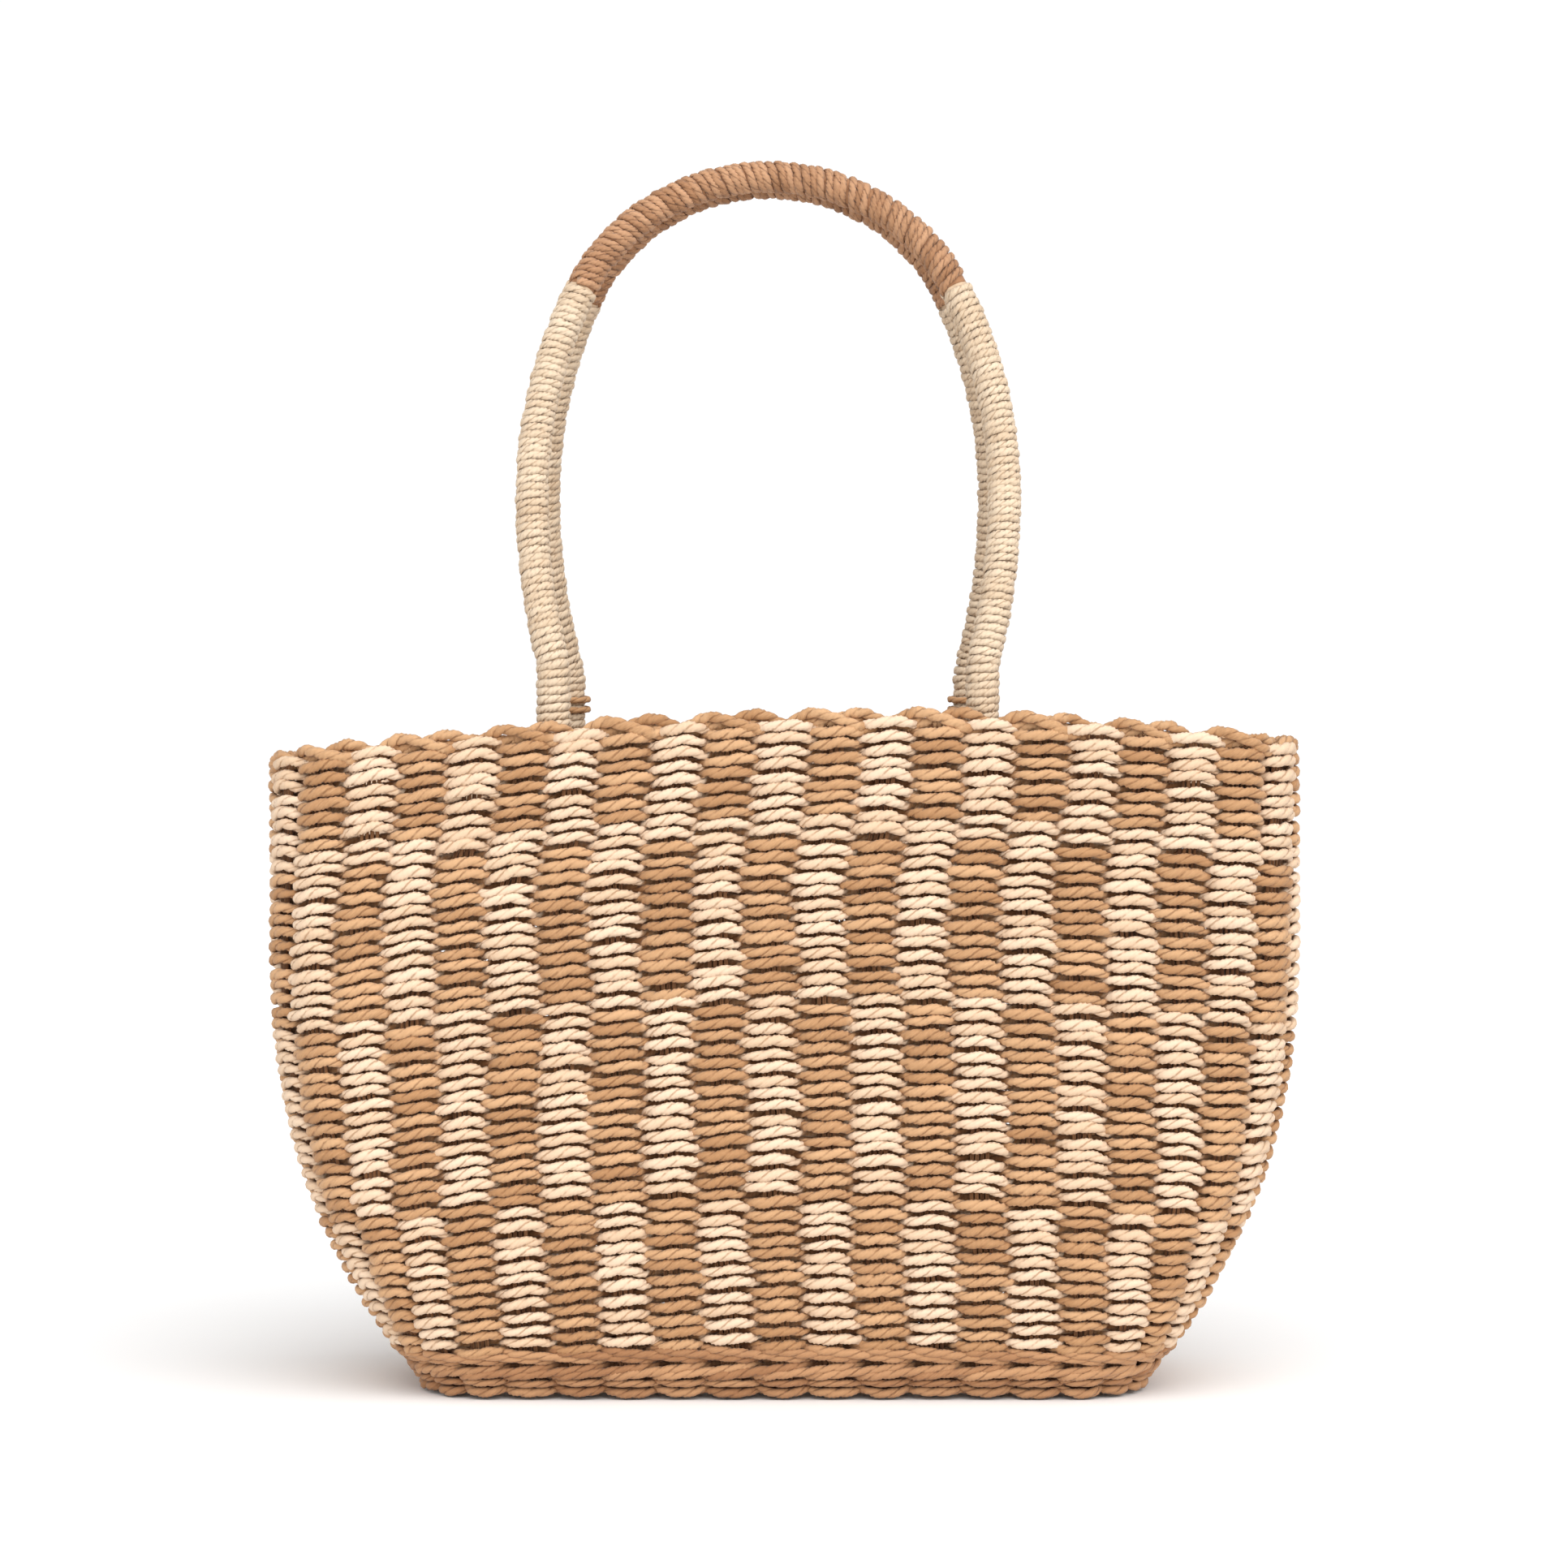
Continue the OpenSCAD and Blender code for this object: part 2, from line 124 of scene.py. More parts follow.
COLUMN_PHASES, ROW_PHASES = RNG.uniform(0, 2 * math.pi, (2, 4))
COLUMN_WANDER, ROW_WANDER = 0.08, 0.9
TWIST_LEVELS = (0, 23, 60, 100, 150, 215, 240, 279)  # the columns lean to the left and back
TWIST_SHIFTS = (0, -0.06, -0.15, -0.2, -0.24, -0.32, -0.12, 0)  # in columns
TILT, TILT_REACH = 3.2, 120  # the rim stands this much higher at the right and lower at the left
FOOT_CALM, RIM_CALM, RIM_CALM_PAST = 40, 60, 20  # near the foot and the rim nothing wanders
STEP_UP = 1.5


def wall(u, w, off=0.0, dz=0.0):
    """Points on the wall at column u and level w, off its middle surface and raised by dz."""
    u, w = np.broadcast_arrays(np.asarray(u, float), np.asarray(w, float))
    inside = np.clip((w - FOOT_H) / FOOT_CALM, 0, 1) * np.clip((BODY_H + RIM_CALM_PAST - w) / RIM_CALM, 0, 1)
    u = u + COLUMN_WANDER * waves(u, w, COLUMN_PHASES) * inside
    u = u + np.interp(w, TWIST_LEVELS, TWIST_SHIFTS)
    x, y, nx, ny = in_plan(u, w)
    share = np.abs(x) / (half_width(w) - WALL_T / 2)
    z = w - END_DROP * drop_share(w) * share ** DROP_SPREAD + dz
    z = z + ROW_WANDER * waves(u, w, ROW_PHASES) * inside
    z = z + TILT * np.tanh(x / TILT_REACH) * np.clip(w / BODY_H, 0, 1) ** 2
    return np.stack([x + off * nx, y + off * ny, z], -1)


def wall_up(u, w, off=0.0):
    """How far and in which direction the wall goes per millimetre of level."""
    w = np.asarray(w, float)
    return (wall(u, w + STEP_UP, off) - wall(u, w - STEP_UP, off)) / (2 * STEP_UP)


# ---- Swept cords ---------------------------------------------------------------------------------

# Radius round a cord's section, as a share of its half width
TWO_PLY = np.array([0.78, 0.94, 1.02, 1.02, 0.94] * 2)
ROUND = np.ones(6)
ROUND_CORE = np.ones(12)
WOUND_PLY = np.array([0.84, 0.97, 1.0, 0.97] * 2)
SHADE_FROM, SHADE_TO = 1.5, 4.3  # from the wall's middle: shade is painted on a cord within the first, none past the second
UV_LENGTH = 10  # along a cord, for 1 in u
CROSS_LIGHT = 2.6  # where a cord changes sides it is in plain sight, so less shade is painted there
LIE = 3.9  # from the wall's middle to a cord that lies outside or inside a stake


def unit(v):
    return v / np.maximum(np.linalg.norm(v, axis=-1, keepdims=True), 1e-9)


class Cords:
    """Collects cords swept along paths and makes one mesh of them."""

    def __init__(self):
        self.points, self.tints, self.deeps, self.uvs, self.loops, self.sizes = [], [], [], [], [], []
        self.count = 0

    def add(self, path, up, half_up, half_out, turn=0.0, closed=False, tint=0.5, section=TWO_PLY, start=0.0,
            off=None):
        """A cord along path, with up as its second axis. turn is the length of one turn of its twist.

        off is how far the path lies off the wall's middle; near the middle, shade is painted into the cord's
        colour."""
        path = np.asarray(path, float)
        n, m = len(path), len(section)
        step = np.roll(path, -1, 0) - path if closed else np.diff(path, axis=0)
        run = np.concatenate([[0], np.cumsum(np.linalg.norm(step, axis=1))])
        if closed:
            tangent = unit(np.roll(path, -1, 0) - np.roll(path, 1, 0))
        else:
            tangent = unit(np.gradient(path, axis=0))
        up = np.broadcast_to(up, path.shape)
        side = unit(up - tangent * (up * tangent).sum(1)[:, None])
        out = np.cross(tangent, side)
        turns = run[-1] / turn if turn else 0
        turns = max(1, round(turns)) if closed and turn else turns
        spin = start + 2 * math.pi * turns * run[:n] / run[-1]
        angle = spin[:, None] + 2 * math.pi * np.arange(m) / m
        half_up = np.broadcast_to(np.asarray(half_up, float), (n,))[:, None]
        half_out = np.broadcast_to(np.asarray(half_out, float), (n,))[:, None]
        ring = (path[:, None]
                + out[:, None] * (half_out * section * np.cos(angle))[..., None]
                + side[:, None] * (half_up * section * np.sin(angle))[..., None])
        self.points.append(ring.reshape(-1, 3))
        self.tints.append(np.repeat(np.broadcast_to(np.asarray(tint, float), (n,)), m))
        # Painted shade: the nearer a cord lies to the wall's middle, behind a stake, the darker its colour;
        # with no off, none
        if off is None:
            self.deeps.append(np.zeros(n * m))
        else:
            off = np.asarray(off)[:, None]
            crossing = np.clip(1 - np.abs(off) / LIE, 0, 1)
            reach = np.abs(off + half_out * np.cos(angle)) + CROSS_LIGHT * crossing
            self.deeps.append(1 - np.clip((reach - SHADE_FROM) / (SHADE_TO - SHADE_FROM), 0, 1).ravel())
        i = np.arange(n if closed else n - 1)[:, None]
        j = np.arange(m)[None]
        i2, j2 = (i + 1) % n, (j + 1) % m
        quads = np.stack([i * m + j, i2 * m + j, i2 * m + j2, i * m + j2], -1).reshape(-1)
        across, length = j / m + 0 * i, run[i] / UV_LENGTH + 0 * j
        ahead, over = run[i + 1] / UV_LENGTH + 0 * j, (j + 1) / m + 0 * i
        uv = np.stack([np.stack([length, across], -1), np.stack([ahead, across], -1),
                       np.stack([ahead, over], -1), np.stack([length, over], -1)], -2).reshape(-1, 2)
        self.loops.append(quads + self.count)
        self.uvs.append(uv)
        self.sizes.append(np.full(len(quads) // 4, 4))
        if not closed:
            for cap in (np.arange(m), ((n - 1) * m + np.arange(m))[::-1]):
                self.loops.append(cap + self.count)
                self.uvs.append(np.stack([np.zeros(m), np.arange(m) / m], -1))
                self.sizes.append(np.array([m]))
        self.count += n * m

    def make(self, name, material):
        mesh = bpy.data.meshes.new(name)
        points = np.concatenate(self.points) / 1000
        loops, sizes = np.concatenate(self.loops), np.concatenate(self.sizes)
        mesh.vertices.add(len(points))
        mesh.vertices.foreach_set("co", points.astype(np.float32).ravel())
        mesh.loops.add(len(loops))
        mesh.loops.foreach_set("vertex_index", loops.astype(np.int32))
        mesh.polygons.add(len(sizes))
        mesh.polygons.foreach_set("loop_start", (np.cumsum(sizes) - sizes).astype(np.int32))
        mesh.update(calc_edges=True)
        mesh.polygons.foreach_set("use_smooth", np.ones(len(sizes), bool))
        layer = mesh.uv_layers.new(name="cord")
        layer.data.foreach_set("uv", np.concatenate(self.uvs).astype(np.float32).ravel())
        for label, values in (("tint", self.tints), ("deep", self.deeps)):
            made = mesh.attributes.new(label, "FLOAT", "POINT")
            made.data.foreach_set("value", np.concatenate(values).astype(np.float32))
        mesh.validate()
        mesh.materials.append(material)
        piece = bpy.data.objects.new(name, mesh)
        bpy.context.scene.collection.objects.link(piece)
        return piece


# ---- Materials -----------------------------------------------------------------------------------

MIX_FACTOR, MIX_A, MIX_B, MIX_COLOR = 0, 6, 7, 2  # sockets of a mix node that mixes colours


class Shading:
    """Adds shader nodes to a material. Each method but add and feed gives the new node's output."""

    def __init__(self, material):
        material.use_nodes = True
        self.nodes = material.node_tree.nodes
        self.links = material.node_tree.links

    def add(self, kind, **settings):
        made = self.nodes.new(kind)
        for key, value in settings.items():
            setattr(made, key, value)
        return made

    def feed(self, socket, value):
        """Links an output to the socket, or sets its number or colour."""
        if isinstance(value, bpy.types.NodeSocket):
            self.links.new(value, socket)
        elif isinstance(value, tuple):
            socket.default_value = (*value, 1)
        else:
            socket.default_value = value

    def math(self, operation, *values):
        made = self.add("ShaderNodeMath", operation=operation)
        for socket, value in zip(made.inputs, values):
            self.feed(socket, value)
        return made.outputs[0]

    def ramp(self, value, low, high, to_low=0.0, to_high=1.0):
        made = self.add("ShaderNodeMapRange", interpolation_type="SMOOTHSTEP")
        for label, given in (("Value", value), ("From Min", low), ("From Max", high),
                             ("To Min", to_low), ("To Max", to_high)):
            self.feed(made.inputs[label], given)
        return made.outputs["Result"]

    def noise(self, vector, scale, detail, rough=0.55):
        made = self.add("ShaderNodeTexNoise")
        for label, given in (("Vector", vector), ("Scale", scale), ("Detail", detail), ("Roughness", rough)):
            self.feed(made.inputs[label], given)
        return made.outputs["Fac"]

    def mix(self, factor, a, b):
        made = self.add("ShaderNodeMix", data_type="RGBA")
        self.feed(made.inputs[MIX_FACTOR], factor)
        self.feed(made.inputs[MIX_A], a)
        self.feed(made.inputs[MIX_B], b)
        return made.outputs[MIX_COLOR]


GROOVE_FROM, CREASE_SHADE_SHARE = 0.72, 0.62  # a groove starts here, from a ply's middle to its edge; its painted shade takes this share of the colour
BREAK_SCALE, BREAK_LEFT = 210, 0.25  # a groove fades to this share here and there
STREAKS_ALONG, STREAKS_ACROSS, STREAKS_APART = 1.1, 16.0, 37
STREAK_SHARE, MOTTLE_SHARE, PATCH_SHARE, TINT_SHARE = 0.62, 0.34, 0.25, 0.52
MOTTLE_SCALE, PATCH_SCALE = 95, 14
WORN_SHARE, WORN_LIGHT = 0.35, 1.12  # fibres rubbed paler than the cord's light colour
# share of the dark colour painted as shade where a cord lies deep in the wall
PAINTED_SHADE_SHARE = 0.93
ROUGH_SPREAD = 0.08
BUMP, BUMP_DEPTH = 0.5, 0.0006


def cord_material(name, light, dark, shade_color, roughness):
    """Twisted paper cord: streaks of fibre along each ply, painted shade in the crease between the plies and
    deep in the wall, mottling.
    """
    material = bpy.data.materials.new(name)
    shading = Shading(material)
    shader = shading.nodes["Principled BSDF"]
    shader.inputs["Specular IOR Level"].default_value = 0.25
    shader.inputs["Sheen Weight"].default_value = 0.12
    shader.inputs["Sheen Roughness"].default_value = 0.5

    uv = shading.add("ShaderNodeUVMap", uv_map="cord").outputs["UV"]
    split = shading.add("ShaderNodeSeparateXYZ")
    shading.feed(split.inputs[0], uv)
    length, across = split.outputs[0], split.outputs[1]
    tint = shading.add("ShaderNodeAttribute", attribute_name="tint").outputs["Fac"]
    deep = shading.add("ShaderNodeAttribute", attribute_name="deep").outputs["Fac"]
    place = shading.add("ShaderNodeTexCoord").outputs["Object"]

    # 0 in the middle of a ply and 1 where the two plies meet
    ply = shading.math("FRACT", shading.math("MULTIPLY", across, 2))
    ply = shading.math("MULTIPLY", shading.math("ABSOLUTE", shading.math("SUBTRACT", ply, 0.5)), 2)
    broken = shading.ramp(shading.noise(place, BREAK_SCALE, 2.0), 0.36, 0.60, BREAK_LEFT, 1.0)
    line = shading.math("MULTIPLY", shading.ramp(ply, GROOVE_FROM, 1.0), broken)

    fibres = shading.add("ShaderNodeCombineXYZ")
    shading.feed(fibres.inputs[0], shading.math("MULTIPLY", length, STREAKS_ALONG))
    shading.feed(fibres.inputs[1], shading.math("MULTIPLY", across, STREAKS_ACROSS))
    shading.feed(fibres.inputs[2], shading.math("MULTIPLY", tint, STREAKS_APART))
    streaks = shading.noise(fibres.outputs[0], 1.6, 4.0, 0.65)
    mottle = shading.noise(place, MOTTLE_SCALE, 3.0)
    patches = shading.noise(place, PATCH_SCALE, 2.0)

    blend = shading.math("MULTIPLY", streaks, STREAK_SHARE)
    for value, share in ((mottle, MOTTLE_SHARE), (patches, PATCH_SHARE), (tint, TINT_SHARE)):
        blend = shading.math("ADD", blend, shading.math("MULTIPLY", value, share))
    color = shading.mix(shading.ramp(blend, 0.52, 1.12), dark, light)
    paler = tuple(min(1.0, c * WORN_LIGHT) for c in light)
    color = shading.mix(shading.ramp(streaks, 0.62, 0.78, 0.0, WORN_SHARE), color, paler)
    # painted shade in the crease where the two plies meet
    color = shading.mix(shading.math("MULTIPLY", line, CREASE_SHADE_SHARE), color, shade_color)
    # painted shade: darker towards the wall's middle, where the cords pass behind the stakes
    color = shading.mix(shading.ramp(deep, 0.15, 1.0, 0.0, PAINTED_SHADE_SHARE), color, shade_color)
    shading.feed(shader.inputs["Base Color"], color)

    rough = shading.ramp(mottle, 0.3, 0.7, roughness - ROUGH_SPREAD, roughness + ROUGH_SPREAD)
    shading.feed(shader.inputs["Roughness"], rough)

    fibre_height = shading.math("MULTIPLY", streaks, 0.6)
    relief = shading.add("ShaderNodeBump")
    shading.feed(relief.inputs["Strength"], BUMP)
    shading.feed(relief.inputs["Distance"], BUMP_DEPTH)
    shading.feed(relief.inputs["Height"],
                 shading.math("SUBTRACT", fibre_height, shading.math("MULTIPLY", line, 0.9)))
    shading.feed(shader.inputs["Normal"], relief.outputs["Normal"])
    return material


TAN = cord_material("tan_paper_cord",
                    light=(0.62, 0.37, 0.195), dark=(0.43, 0.222, 0.098),
                    shade_color=(0.15, 0.052, 0.012), roughness=0.72)
CREAM = cord_material("cream_paper_cord",
                      light=(0.81, 0.615, 0.445), dark=(0.71, 0.50, 0.33),
                      shade_color=(0.28, 0.115, 0.03), roughness=0.70)
GRIP = cord_material("grip_paper_cord",
                     light=(0.54, 0.30, 0.165), dark=(0.35, 0.17, 0.08),
                     shade_color=(0.13, 0.05, 0.02), roughness=0.66)
LEG = cord_material("leg_paper_cord",
                    light=(0.74, 0.59, 0.43), dark=(0.61, 0.45, 0.30),
                    shade_color=(0.34, 0.19, 0.09), roughness=0.70)
# Stake cords: their own tan made much darker, as painted shade in the narrow gaps between the rows where
# they show
SHADED_STAKE = cord_material("stake_cord",
                      light=(0.34, 0.16, 0.07), dark=(0.11, 0.042, 0.015),
                      shade_color=(0.03, 0.012, 0.005), roughness=0.80)
# Cord of the wales and the foot: the tan made darker, as painted shade for where the foot curves under
SHADED_FOOT = cord_material("foot_paper_cord",
                     light=(0.52, 0.285, 0.142), dark=(0.33, 0.155, 0.068),
                     shade_color=(0.10, 0.033, 0.010), roughness=0.75)

# ---- Rows of the wall ----------------------------------------------------------------------------

RINGS = 12  # along a column
TWIST = 14.5  # length of one turn of the two plies
CROSS_STEEP = 1.9  # how sharply a cord changes sides
SLANT = 0.55  # each stitch rises to the right
INNER_ARCH = 0.3
# How much the stitches differ: in place along the row, size, height, arch, distance out and crossing
SHIFT_SPREAD, SIZE_SPREAD, LIFT_SPREAD = 0.055, 0.06, 0.28
ARCH_SPREAD, OFF_SPREAD, WAVE_SPREAD = 0.25, 0.12, 0.32
# Half of a cord's height and depth where it changes sides, and what it gains over a stake
CROSS_UP, GAIN_UP, CROSS_OUT, GAIN_OUT = 1.45, 0.95, 1.6, 0.45


def round_columns(count=STAKES):
    u = np.arange(count * RINGS) / RINGS
    column = np.rint(u).astype(int) % STAKES
    return u, column, u - np.rint(u)


def between_columns(u, values):
    """Values that hold halfway between the columns, read at u."""
    halfway = np.arange(-1, STAKES + 1)
    return np.interp(u, halfway + 0.5, values[halfway % STAKES])


def row(cords, level, parity, arch):
    """One cord round the basket: outside the stakes of its parity, inside the others."""
    u, column, _ = round_columns()
    shifts = between_columns(u, RNG.normal(0, SHIFT_SPREAD, STAKES))
    c = np.cos(math.pi * (u - parity + shifts))
    t = (u + shifts) - np.rint(u + shifts)
    swell = 1 - (2 * np.abs(t)) ** 2
    size = 1 + RNG.normal(0, SIZE_SPREAD, STAKES)[column]
    lift = RNG.normal(0, LIFT_SPREAD, STAKES)[column]
    tints = RNG.uniform(0, 1, STAKES)[column]
    arches = arch * (1 + RNG.normal(0, ARCH_SPREAD, STAKES)[column])
    off = LIE * np.tanh(CROSS_STEEP * c) / math.tanh(CROSS_STEEP)
    off = off + RNG.normal(0, OFF_SPREAD, STAKES)[column] * swell
    wave = between_columns(u, RNG.normal(0, WAVE_SPREAD, STAKES))
    dz = np.where(c > 0, arches, INNER_ARCH) * swell + lift * swell + wave
    dz = dz + SLANT * np.sin(2 * math.pi * t) * np.clip(c, 0, 1)
    up = wall_up(u, level, off)
    rise = np.linalg.norm(up, axis=1)
    half_up = (CROSS_UP + GAIN_UP * swell ** 0.4) * size * rise
    half_out = CROSS_OUT + GAIN_OUT * swell ** 0.5
    cords.add(wall(u, level, off, dz), up, half_up, half_out, turn=TWIST * RNG.uniform(0.9, 1.1),
              closed=True, tint=tints, start=RNG.uniform(0, 2 * math.pi), off=off)


# The tier of each row from below, or the one colour of both cords where the tiers change.
TIER_OF_ROW = [4] * 11 + ["tan"] + [3] * 14 + ["cream"] + [2] * 12 + ["cream"] + [1] * 8
TIER_OF_CHANGE = {11: 4, 26: 2, 39: 1}
ARCH = {"tan": 0.6, "cream": 1.6}
SETTLE, SETTLED_ROWS = 1.3, 5  # the lowest rows lie down on the upper wale
tiers = {(tier, color): Cords() for tier in (1, 2, 3, 4) for color in ("tan", "cream")}
for k, kind in enumerate(TIER_OF_ROW):
    for parity in (0, 1):
        if kind in ARCH:
            color, tier = kind, TIER_OF_CHANGE[k]
        else:
            tier = kind
            color = "cream" if (tier % 2 == 1) == (parity == 0) else "tan"
        last = k == len(TIER_OF_ROW) - 1
        if last and parity == 1:
            continue
        near_foot = max(0.0, 1 - (k + 0.5 * parity) / SETTLED_ROWS)
        level = WEAVE_BASE + (k + 0.25 + 0.5 * parity) * ROW_H - SETTLE * near_foot
        row(tiers[tier, color], level, parity, ARCH[color] * (1 - near_foot))

for (tier, color), cords in tiers.items():
    piece = cords.make(f"tier_{tier}_{color}_strands", TAN if color == "tan" else CREAM)
    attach(piece, "root")
    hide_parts(f"tier_{tier}_{color}_cord")

# ---- Wales: three cords, each outside two stakes and inside one ----------------------------------


def smooth_round(values, width):
    kernel = np.hanning(width + 2)[1:-1]
    kernel /= kernel.sum()
    wrapped = np.concatenate([values[-width:], values, values[:width]])
    return np.convolve(wrapped, kernel, "same")[width:-width]


WALE_OUT, WALE_SINK, WALE_IN = 4.3, 0.75, 3.4  # off the wall's middle: start of a stitch, sinking, inside
WALE_HALF_UP, WALE_HALF_OUT, WALE_MARGIN = 2.05, 1.7, 1.1


def wale(name, low, high, slant, node):
    cords = Cords()
    u, _, _ = round_columns(3 * STAKES)
    phase = np.mod(u + 0.5, 3)
    outside = phase < 2
    rise = smooth_round(np.where(outside, 1 - phase, 2 * (phase - 2) - 1), 7)
    side = smooth_round(np.where(outside, 1.0, -1.0), 9)
    depth = np.where(outside, WALE_OUT - WALE_SINK * phase, WALE_IN)
    off = side * smooth_round(depth, 9)
    drop = (high - low) / 2 - WALE_MARGIN
    level = (low + high) / 2
    stitch = np.floor((u + 0.5) / 3).astype(int) % STAKES
    size = 1 + RNG.normal(0, 0.05, STAKES)[stitch]
    tints = RNG.uniform(0, 1, STAKES)[stitch]
    up = wall_up(u, level, off)
    spread = np.linalg.norm(up, axis=1)
    path = wall(u, level + slant * drop * rise, off)
    cords.add(path, up, WALE_HALF_UP * size * spread, WALE_HALF_OUT, turn=TWIST, closed=True, tint=tints,
              off=off)
    piece = cords.make(name, SHADED_FOOT)
    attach(piece, "root")
    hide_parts(node)


wale("lower_wale_strands", FOOT_H, FOOT_H + WALE_H, -1, "lower_wale")
wale("upper_wale_strands", FOOT_H + WALE_H, WEAVE_BASE, 1, "upper_wale")

# ---- Foot: scalloped border that the basket stands on --------------------------------------------

FOOT_ROUNDS = ((3.9, -1.35, 2.25), (7.2, -0.3, 1.7))  # level, arch and half height of each round
FOOT_LIE, FOOT_TAPER, FOOT_SPLIT, FOOT_SPREAD = 3.6, 0.7, 0.6, 0.3
FOOT_CROSS, FOOT_HALF_OUT, FOOT_GAIN_OUT = 1.3, 1.5, 0.6

foot = Cords()
for level, arch, half in FOOT_ROUNDS:
    for parity in (0, 1):
        u, column, t = round_columns()
        c = np.cos(math.pi * (u - parity))
        swell = 1 - (2 * np.abs(t)) ** 2
        off = FOOT_LIE * np.sin(math.pi / 2 * c)
        path = wall(u, FOOT_H, off - (FOOT_H - level) * FOOT_TAPER)
        sag = 1 + RNG.normal(0, FOOT_SPREAD, STAKES)[column]
        path[:, 2] = level + FOOT_SPLIT * (1 - 2 * parity) * (1 - swell) + arch * swell * sag
        path[:, 2] = np.maximum(path[:, 2], half + 0.1)
        half_up = FOOT_CROSS + (half - FOOT_CROSS) * swell ** 0.6
        foot.add(path, (0, 0, 1), half_up, FOOT_HALF_OUT + FOOT_GAIN_OUT * swell, turn=TWIST,
                 closed=True, tint=RNG.uniform(0, 0.8, STAKES)[column], off=off)
piece = foot.make("foot_scallops", SHADED_FOOT)
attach(piece, "root")
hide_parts("foot_border")

# ---- Rim: cords that rise in a scallop at each side of a tan column ------------------------------


def through(u, values):
    """Smooth values that repeat every two columns."""
    n = len(values)
    x = np.mod(u, 2) / 2 * n
    i = np.floor(x).astype(int)
    f = x - i
    p0, p1, p2, p3 = (np.asarray(values, float)[(i + k) % n] for k in (-1, 0, 1, 2))
    bend = 2 * p0 - 5 * p1 + 4 * p2 - p3 + f * (3 * (p1 - p2) + p3 - p0)
    return p1 + 0.5 * f * (p2 - p0 + f * bend)


# For each cord, how far it lies off the wall's middle and over the top row, at eight even steps
# through two columns. The third cord lies under the other two and fills the gap between them.
RIM_CORDS = (
    ((-1.8, -1.2, 0.8, 2.9, 3.6, 3.5, 2.2, -0.8), (-1.0, 1.6, 4.1, 3.6, 1.9, 0.0, -1.8, -2.4)),
    ((-4.0, -3.2, -1.5, -0.9, -0.8, 0.0, 1.0, -1.2), (-0.4, -2.2, -2.2, -0.6, 1.5, 3.4, 4.2, 2.2)),
    ((-1.6, -1.4, -1.0, -0.6, -0.6, -0.6, -1.0, -1.4), (-1.5, -0.9, 0.0, 0.2, 0.2, 0.2, 0.0, -0.9)),
)
RIM_HALF_UP, RIM_HALF_OUT, RIM_TWIST = 2.4, 2.05, TWIST * 0.85

rim = Cords()
for off_values, rise_values in RIM_CORDS:
    u, column, t = round_columns()
    size = 1 + RNG.normal(0, 0.05, STAKES)[column]
    lift = np.interp(u, np.arange(STAKES + 1), np.append(RNG.normal(0, 0.35, STAKES), 0))
    path = wall(u, BODY_H, through(u, off_values), through(u, rise_values) + np.minimum(lift, 0.1))
    rim.add(path, (0, 0, 1), RIM_HALF_UP * size, RIM_HALF_OUT, turn=RIM_TWIST, closed=True,
            tint=RNG.uniform(0, 1, STAKES)[column])
piece = rim.make("rim_scallops", TAN)
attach(piece, "root")
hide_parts("rim_border")

# ---- Stakes: four thin cords side by side, up the wall and under the floor -----------------------

LAST_CROSS = FAN_STAKE - 2
STAKE_LEVELS = np.linspace(FOOT_H, BODY_H + 1, 56)
STAKE_HALF_WIDE, STAKE_HALF_DEEP = 0.95, 0.9
ACROSS_POINTS = 24


def stake_wall(u):
    wobble = 0.15 * np.sin(STAKE_LEVELS / 9 + u * 5)
    return wall(u, STAKE_LEVELS, wobble)


def stake_side(u, levels):
    return wall(u + 0.1, levels) - wall(u - 0.1, levels)


def cross_stake(cords, u):
    front = stake_wall(u)[::-1]
    back = stake_wall(2 * QUARTER - u)
    y = np.linspace(front[-1, 1] + 2, back[0, 1] - 2, ACROSS_POINTS)
    under = np.stack([np.full(ACROSS_POINTS, front[-1, 0]), y, np.full(ACROSS_POINTS, float(FLOOR_MID))], -1)
    cords.add(np.concatenate([front, under, back]), (1, 0, 0), STAKE_HALF_WIDE, STAKE_HALF_DEEP,
              section=ROUND, tint=RNG.uniform(0, 1))


def end_stake(cords, u):
    climb = stake_wall(u)
    _, _, nx, ny = in_plan(np.array(u), np.array(FOOT_H))
    inward = np.array([-nx, -ny, 0])
    base = climb[0] * [1, 1, 0] + [0, 0, FLOOR_MID]
    tuck = base + np.linspace(END_TUCK, 2, 6)[:, None] * inward
    side = stake_side(u, np.array([FOOT_H]))[0]
    cords.add(np.concatenate([tuck, climb]), side, STAKE_HALF_WIDE, STAKE_HALF_DEEP, section=ROUND,
              tint=RNG.uniform(0, 1))


SPREAD = (-0.155, -0.052, 0.052, 0.155)  # of the four cords of a stake, in columns
groups = (("front_back_stake_cords", cross_stake, "cross_stakes",
           range(-LAST_CROSS, LAST_CROSS + 1)),
          ("right_end_stake_cords", end_stake, "right_end_stakes",
           range(LAST_CROSS + 1, 2 * QUARTER - LAST_CROSS)),
          ("left_end_stake_cords", end_stake, "left_end_stakes",
           range(2 * QUARTER + LAST_CROSS + 1, STAKES - LAST_CROSS)))
for name, build, node, columns in groups:
    cords = Cords()
    for column in columns:
        for shift in SPREAD:
            build(cords, column + shift)
    piece = cords.make(name, SHADED_STAKE)
    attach(piece, "root")
    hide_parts(node)

# ---- Floor: rounds of tan cord, under one stake and over the next --------------------------------

